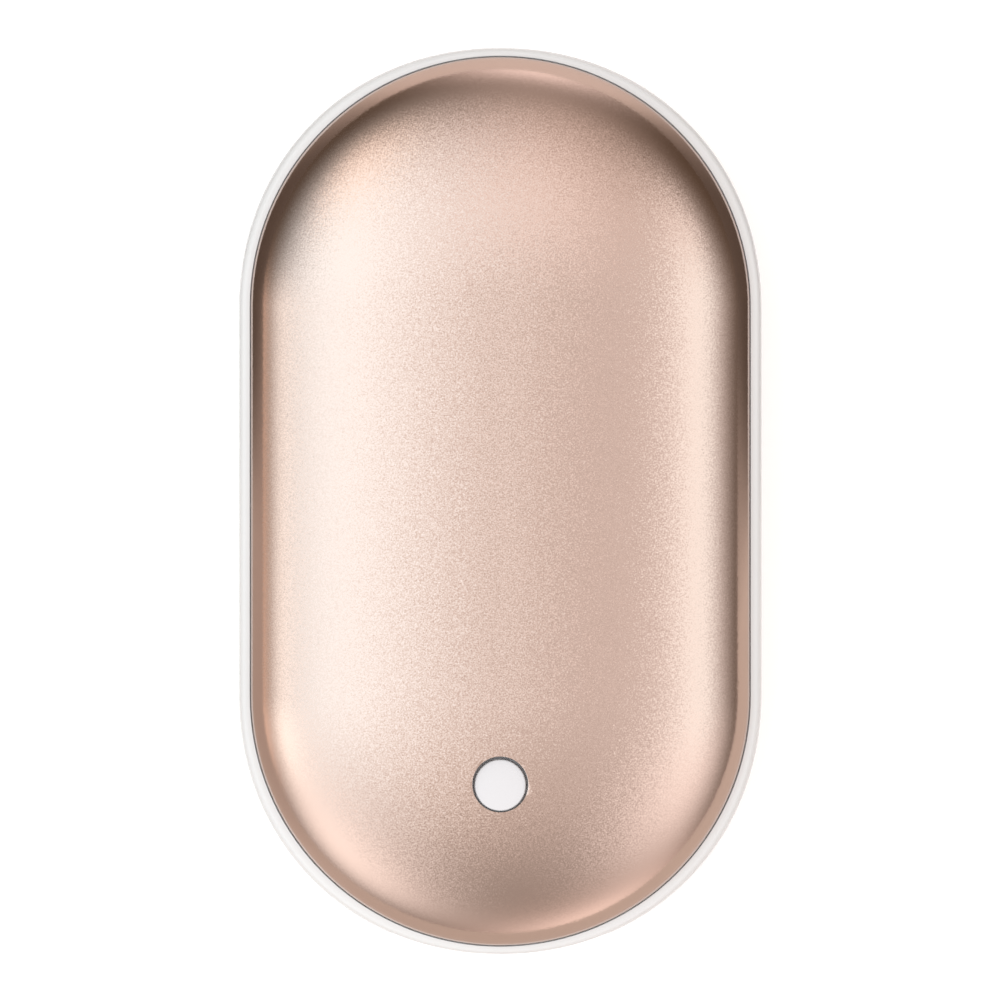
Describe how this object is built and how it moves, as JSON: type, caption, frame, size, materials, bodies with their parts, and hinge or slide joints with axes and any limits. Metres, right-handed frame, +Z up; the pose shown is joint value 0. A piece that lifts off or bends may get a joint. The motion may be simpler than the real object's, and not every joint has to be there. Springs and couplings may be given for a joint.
{
  "type": "rechargeable hand warmer",
  "caption": "Pebble-shaped rechargeable hand warmer: two domed metal shells on a white band, with a round press button, charging ports and a heater inside each shell.",
  "frame": {"origin": "centre of the base, where the rear shell's flat crown rests", "axes": "+Y along the length, away from the ports and button; +X across; +Z up through the thickness, out of the button's face"},
  "size_m": [0.06, 0.1039, 0.026],
  "materials": {
    "anodised_metal": "fine sand-blasted anodising, rose gold",
    "white_plastic": "moulded, glossy white",
    "black_plastic": "moulded, matte black",
    "milky_plastic": "milky, lets light through",
    "cell_wrap": "shrunk film, blue",
    "nickel": "rolled nickel strip",
    "steel": "plated steel",
    "board_laminate": "green solder resist",
    "heater_film": "amber film over a printed track",
    "insulating_board": "pressed fibre board",
    "ferrite": "moulded ferrite",
    "black_lead": "insulated lead, black",
    "red_lead": "insulated lead, red",
    "white_lead": "insulated lead, white"
  },
  "bodies": {
    "case": {"front_shell": "anodised_metal", "rear_shell": "anodised_metal", "mid_band": "white_plastic", "front_liner": "black_plastic", "rear_liner": "black_plastic", "cell_cradle": "black_plastic", "cell_left": "cell_wrap", "cell_right": "cell_wrap", "positive_strip": "nickel", "negative_strip": "nickel", "cradle_screw_1": "steel", "cradle_screw_2": "steel", "cradle_screw_3": "steel", "cradle_screw_4": "steel", "board_screw_left": "steel", "board_screw_right": "steel", "main_board": "board_laminate", "usb_a_shell": "steel", "usb_a_tongue": "black_plastic", "micro_usb_shell": "steel", "micro_usb_tongue": "black_plastic", "button_guide": "black_plastic", "switch_body": "black_plastic", "switch_cover": "steel", "button_light": "milky_plastic", "charge_light_1": "milky_plastic", "charge_light_2": "milky_plastic", "charge_light_3": "milky_plastic", "charge_light_4": "milky_plastic", "light_comb": "milky_plastic", "front_heater": "heater_film", "rear_heater": "heater_film", "front_insulator": "insulating_board", "rear_insulator": "insulating_board", "temperature_sensor": "black_plastic", "boost_coil": "ferrite", "control_chip": "black_plastic", "cell_lead": "black_lead", "front_heater_lead": "red_lead", "rear_heater_lead": "red_lead", "sensor_lead": "white_lead"},
    "button": {"button_cap": "milky_plastic"},
    "plunger": {"switch_plunger": "black_plastic"}
  },
  "joints": [
    {"name": "button_press", "type": "slide", "parent": "case", "child": "button", "axis": [0, 0, 1], "range_m": [-0.0003, 0], "stiffness_N_per_m": 2000},
    {"name": "plunger_press", "type": "slide", "parent": "case", "child": "plunger", "axis": [0, 0, 1], "range_m": [-0.0003, 0]}
  ],
  "couplings": [
    {"joint": "plunger_press", "follows": "button_press", "ratio": 1}
  ]
}
